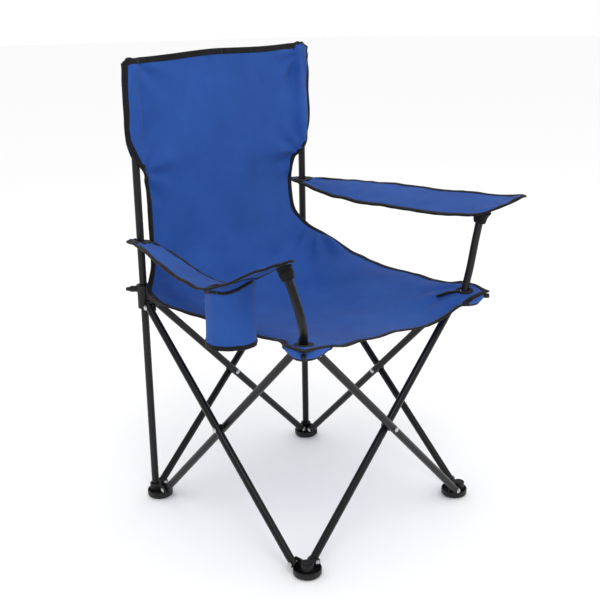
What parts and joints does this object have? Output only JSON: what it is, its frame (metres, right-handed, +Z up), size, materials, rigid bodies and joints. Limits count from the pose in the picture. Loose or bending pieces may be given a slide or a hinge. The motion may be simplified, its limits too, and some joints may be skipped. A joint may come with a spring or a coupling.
{
  "type": "folding camp chair",
  "caption": "Quad camp chair with crossed tube legs that fold into a bundle, a cloth sling seat and back, cloth armrests and a cup holder.",
  "frame": {"origin": "on the floor under the middle of the box round the open chair", "axes": "+Z up, the sitter faces -Y and the sitter's right, the side of the cup holder, is -X"},
  "size_m": [0.558, 0.5518, 0.85],
  "materials": {
    "black_tube": "glossy black powder coat",
    "black_plastic": "moulded, satin",
    "rivet_steel": "bare steel",
    "blue_cloth": "royal blue woven polyester"
  },
  "bodies": {
    "rear_right_base": {"rear_right_foot": "black_plastic", "rear_right_foot_side_rivet": "rivet_steel", "rear_right_foot_cross_rivet": "rivet_steel", "right_rear_post": "black_tube", "right_rear_post_cap": "black_plastic"},
    "back_cross_outer": {"back_cross_outer_leg": "black_tube", "back_cross_pivot_rivet": "rivet_steel", "back_cross_spacer": "black_plastic"},
    "back_cross_inner": {"back_cross_inner_leg": "black_tube"},
    "rear_left_base": {"rear_left_foot": "black_plastic", "rear_left_foot_side_rivet": "rivet_steel", "rear_left_foot_cross_rivet": "rivet_steel", "left_rear_post": "black_tube", "left_rear_post_cap": "black_plastic"},
    "rear_left_slider": {"rear_left_slider": "black_plastic", "rear_left_slider_side_rivet": "rivet_steel", "rear_left_slider_cross_rivet": "rivet_steel"},
    "right_side_inner": {"right_side_inner_leg": "black_tube", "right_side_pivot_rivet": "rivet_steel", "right_side_spacer": "black_plastic"},
    "right_side_outer": {"right_side_outer_leg": "black_tube"},
    "front_right_foot": {"front_right_foot": "black_plastic", "front_right_foot_side_rivet": "rivet_steel", "front_right_foot_cross_rivet": "rivet_steel"},
    "rear_right_slider": {"rear_right_slider": "black_plastic", "rear_right_slider_side_rivet": "rivet_steel", "rear_right_slider_cross_rivet": "rivet_steel"},
    "front_right_hub": {"front_right_hub": "black_plastic", "front_right_hub_side_rivet": "rivet_steel", "front_right_hub_cross_rivet": "rivet_steel", "right_arm_post": "black_tube", "right_arm_post_cap": "black_plastic"},
    "left_side_inner": {"left_side_inner_leg": "black_tube", "left_side_pivot_rivet": "rivet_steel", "left_side_spacer": "black_plastic"},
    "left_side_outer": {"left_side_outer_leg": "black_tube"},
    "front_left_foot": {"front_left_foot": "black_plastic", "front_left_foot_side_rivet": "rivet_steel", "front_left_foot_cross_rivet": "rivet_steel"},
    "front_left_hub": {"front_left_hub": "black_plastic", "front_left_hub_side_rivet": "rivet_steel", "front_left_hub_cross_rivet": "rivet_steel", "left_arm_post": "black_tube", "left_arm_post_cap": "black_plastic"},
    "front_cross_inner": {"front_cross_inner_leg": "black_tube", "front_cross_pivot_rivet": "rivet_steel", "front_cross_spacer": "black_plastic"},
    "front_cross_outer": {"front_cross_outer_leg": "black_tube"},
    "seat_right": {"right_seat_panel": "blue_cloth"},
    "seat_left": {"left_seat_panel": "blue_cloth"},
    "back_right": {"right_back_panel": "blue_cloth"},
    "back_left": {"left_back_panel": "blue_cloth"},
    "armrest_right": {"right_armrest": "blue_cloth"},
    "armrest_left": {"left_armrest": "blue_cloth"},
    "cup_holder": {"cup_holder_pouch": "blue_cloth"}
  },
  "joints": [
    {"name": "fold", "type": "hinge", "parent": "rear_right_base", "child": "back_cross_outer", "pos_m": [-0.188, 0.26261, 0.019], "axis": [0, -1, 0], "range_deg": [0, 34.97]},
    {"name": "back_crossing", "type": "hinge", "parent": "back_cross_outer", "child": "back_cross_inner", "pos_m": [0, 0.25411, 0.20718], "axis": [0, 1, 0], "range_deg": [0, 69.94]},
    {"name": "rear_left_foot_pin", "type": "hinge", "parent": "back_cross_inner", "child": "rear_left_base", "pos_m": [0.188, 0.24561, 0.019], "axis": [0, -1, 0], "range_deg": [0, 34.97]},
    {"name": "rear_left_slider_pin", "type": "hinge", "parent": "back_cross_outer", "child": "rear_left_slider", "pos_m": [0.188, 0.26261, 0.39536], "axis": [0, 1, 0], "range_deg": [0, 34.97]},
    {"name": "rear_right_foot_side_pin", "type": "hinge", "parent": "rear_right_base", "child": "right_side_inner", "pos_m": [-0.2005, 0.22811, 0.019], "axis": [-1, 0, 0], "range_deg": [0, 34.97]},
    {"name": "right_side_crossing", "type": "hinge", "parent": "right_side_inner", "child": "right_side_outer", "pos_m": [-0.209, 0.04011, 0.20718], "axis": [1, 0, 0], "range_deg": [0, 69.94]},
    {"name": "front_right_foot_pin", "type": "hinge", "parent": "right_side_outer", "child": "front_right_foot", "pos_m": [-0.2175, -0.14789, 0.019], "axis": [-1, 0, 0], "range_deg": [0, 34.97]},
    {"name": "rear_right_slider_pin", "type": "hinge", "parent": "right_side_outer", "child": "rear_right_slider", "pos_m": [-0.2175, 0.22811, 0.39536], "axis": [-1, 0, 0], "range_deg": [0, 34.97]},
    {"name": "front_right_hub_pin", "type": "hinge", "parent": "right_side_inner", "child": "front_right_hub", "pos_m": [-0.2005, -0.14789, 0.39536], "axis": [1, 0, 0], "range_deg": [0, 34.97]},
    {"name": "rear_left_foot_side_pin", "type": "hinge", "parent": "rear_left_base", "child": "left_side_inner", "pos_m": [0.2005, 0.22811, 0.019], "axis": [-1, 0, 0], "range_deg": [0, 34.97]},
    {"name": "left_side_crossing", "type": "hinge", "parent": "left_side_inner", "child": "left_side_outer", "pos_m": [0.209, 0.04011, 0.20718], "axis": [1, 0, 0], "range_deg": [0, 69.94]},
    {"name": "front_left_foot_pin", "type": "hinge", "parent": "left_side_outer", "child": "front_left_foot", "pos_m": [0.2175, -0.14789, 0.019], "axis": [-1, 0, 0], "range_deg": [0, 34.97]},
    {"name": "front_left_hub_pin", "type": "hinge", "parent": "left_side_inner", "child": "front_left_hub", "pos_m": [0.2005, -0.14789, 0.39536], "axis": [1, 0, 0], "range_deg": [0, 34.97]},
    {"name": "front_right_foot_cross_pin", "type": "hinge", "parent": "front_right_foot", "child": "front_cross_inner", "pos_m": [-0.188, -0.16539, 0.019], "axis": [0, -1, 0], "range_deg": [0, 34.97]},
    {"name": "front_crossing", "type": "hinge", "parent": "front_cross_inner", "child": "front_cross_outer", "pos_m": [0, -0.17389, 0.20718], "axis": [0, 1, 0], "range_deg": [0, 69.94]},
    {"name": "seat_right_fold", "type": "hinge", "parent": "rear_right_slider", "child": "seat_right", "pos_m": [-0.209, 0.04011, 0.42536], "axis": [0, 1, 0], "range_deg": [0, 71.24], "deforming": ["right_seat_panel"]},
    {"name": "seat_left_fold", "type": "hinge", "parent": "rear_left_slider", "child": "seat_left", "pos_m": [0.209, 0.04011, 0.42536], "axis": [0, -1, 0], "range_deg": [0, 71.24], "deforming": ["left_seat_panel"]},
    {"name": "back_right_fold", "type": "hinge", "parent": "rear_right_base", "child": "back_right", "pos_m": [-0.209, 0.25411, 0.7], "axis": [0, 0, -1], "range_deg": [0, 71.24], "deforming": ["right_back_panel"]},
    {"name": "back_left_fold", "type": "hinge", "parent": "rear_left_base", "child": "back_left", "pos_m": [0.209, 0.25411, 0.7], "axis": [0, 0, 1], "range_deg": [0, 71.24], "deforming": ["left_back_panel"]},
    {"name": "armrest_right_lift", "type": "hinge", "parent": "rear_right_base", "child": "armrest_right", "pos_m": [-0.209, 0.25411, 0.50998], "axis": [-1, 0, 0], "range_deg": [0, 52.06], "deforming": ["right_armrest"]},
    {"name": "armrest_left_lift", "type": "hinge", "parent": "rear_left_base", "child": "armrest_left", "pos_m": [0.209, 0.25411, 0.58498], "axis": [-1, 0, 0], "range_deg": [0, 41.08], "deforming": ["left_armrest"]},
    {"name": "cup_holder_gather", "type": "slide", "parent": "rear_right_base", "child": "cup_holder", "axis": [-0.139, 0.7793, 0.611], "range_m": [0, 0.27332]}
  ],
  "couplings": [
    {"joint": "back_crossing", "follows": "fold", "ratio": 2},
    {"joint": "rear_left_foot_pin", "follows": "fold", "ratio": 1},
    {"joint": "rear_left_slider_pin", "follows": "fold", "ratio": 1},
    {"joint": "rear_right_foot_side_pin", "follows": "fold", "ratio": 1},
    {"joint": "right_side_crossing", "follows": "fold", "ratio": 2},
    {"joint": "front_right_foot_pin", "follows": "fold", "ratio": 1},
    {"joint": "rear_right_slider_pin", "follows": "fold", "ratio": 1},
    {"joint": "front_right_hub_pin", "follows": "fold", "ratio": 1},
    {"joint": "rear_left_foot_side_pin", "follows": "fold", "ratio": 1},
    {"joint": "left_side_crossing", "follows": "fold", "ratio": 2},
    {"joint": "front_left_foot_pin", "follows": "fold", "ratio": 1},
    {"joint": "front_left_hub_pin", "follows": "fold", "ratio": 1},
    {"joint": "front_right_foot_cross_pin", "follows": "fold", "ratio": 1},
    {"joint": "front_crossing", "follows": "fold", "ratio": 2},
    {"joint": "seat_right_fold", "follows": "fold", "ratio": 2.0373},
    {"joint": "seat_left_fold", "follows": "fold", "ratio": 2.0373},
    {"joint": "back_right_fold", "follows": "fold", "ratio": 2.0373},
    {"joint": "back_left_fold", "follows": "fold", "ratio": 2.0373},
    {"joint": "armrest_right_lift", "follows": "fold", "ratio": 1.4886},
    {"joint": "armrest_left_lift", "follows": "fold", "ratio": 1.1746},
    {"joint": "cup_holder_gather", "follows": "fold", "m_per_rad": 0.44781}
  ]
}
